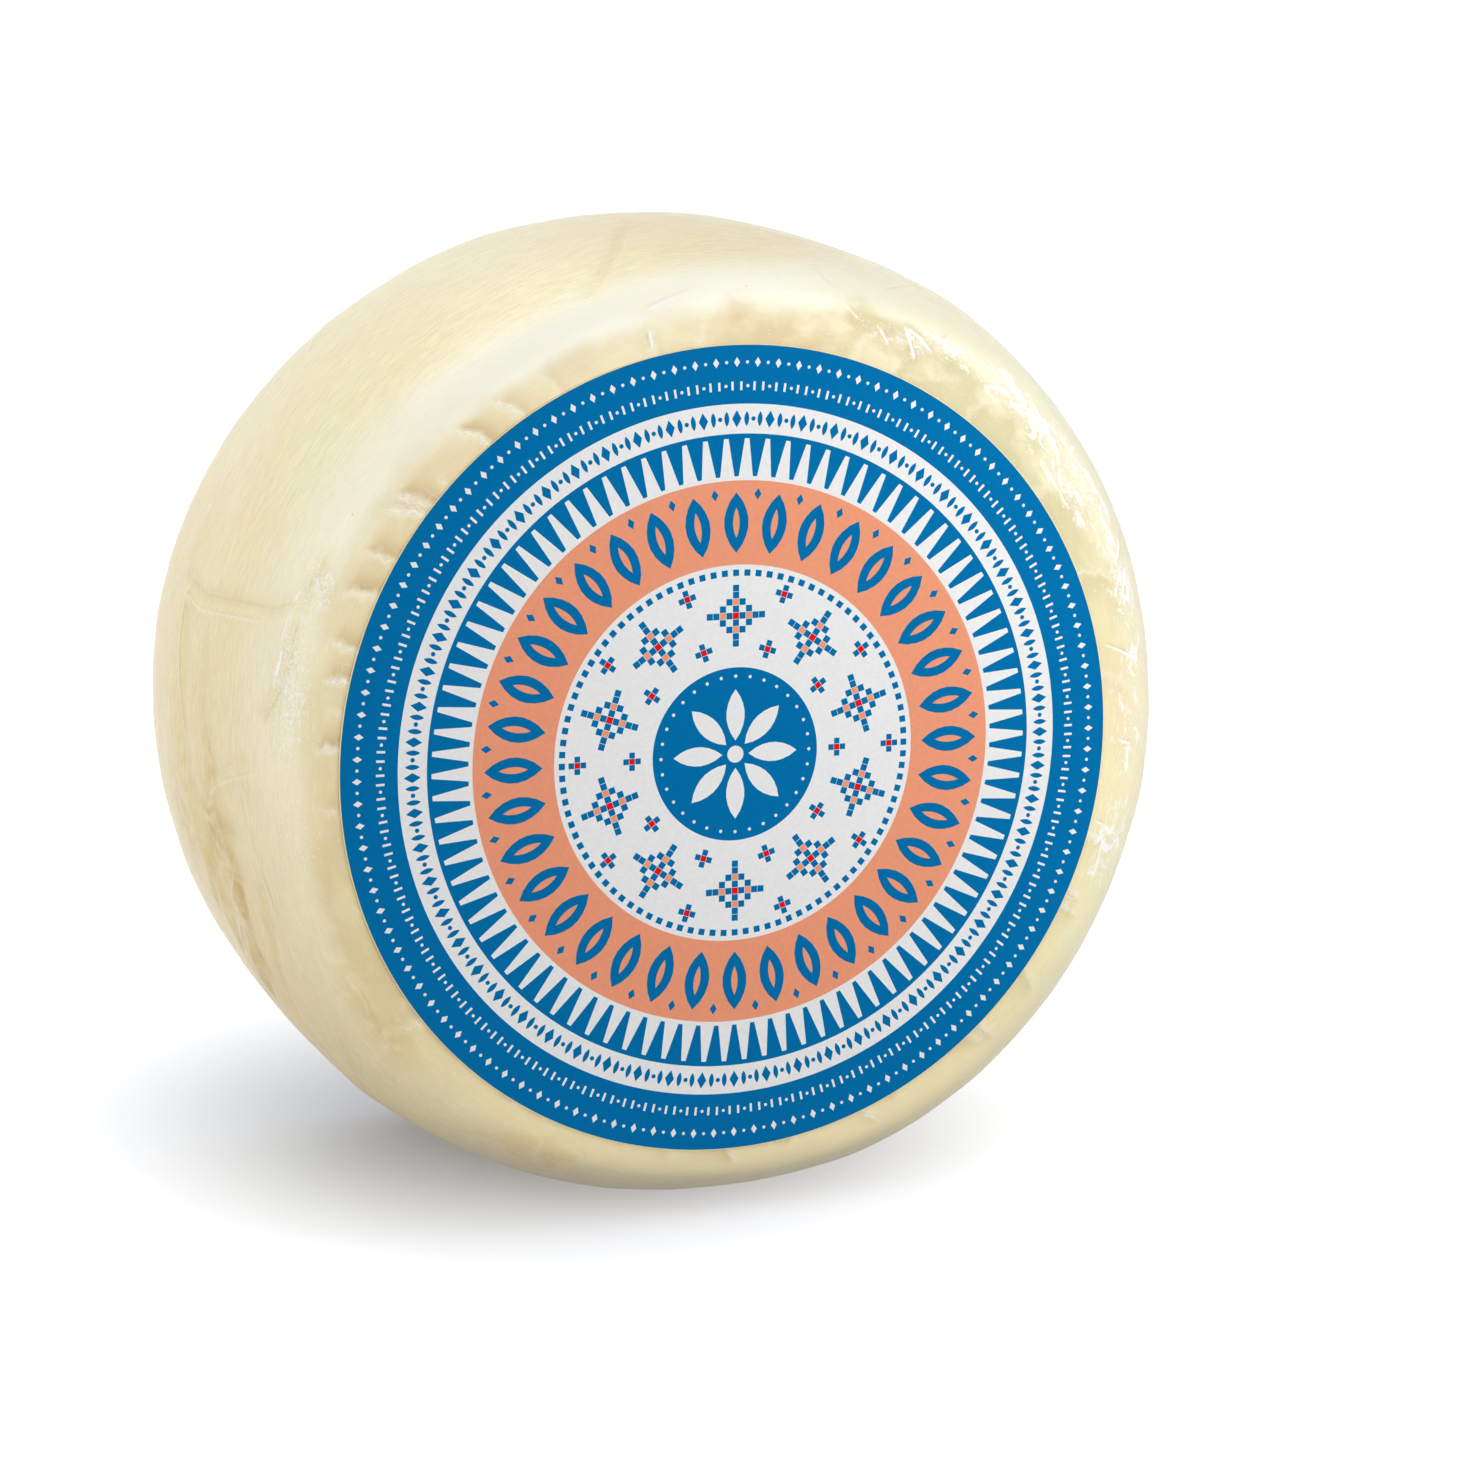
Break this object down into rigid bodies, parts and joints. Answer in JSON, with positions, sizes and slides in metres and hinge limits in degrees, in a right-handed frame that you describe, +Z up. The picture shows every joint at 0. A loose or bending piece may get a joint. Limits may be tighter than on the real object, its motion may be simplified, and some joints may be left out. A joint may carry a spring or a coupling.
{
  "type": "pecorino cheese wheel",
  "caption": "Barrel-sided wheel of fresh sheep's milk cheese with a thin coated rind, standing on its edge, and a round printed paper label on one flat face.",
  "frame": {"origin": "on the small flat that the wheel rests on, straight below the wheel's axis and midway between its faces", "axes": "+Z up, the wheel's own axis along Y, and the labelled face looks along -Y"},
  "size_m": [0.1768, 0.0914, 0.1742],
  "materials": {
    "cheese_rind": "satin",
    "printed_paper": "matte"
  },
  "bodies": {
    "root": {"cheese": "cheese_rind", "label": "printed_paper"}
  },
  "joints": []
}
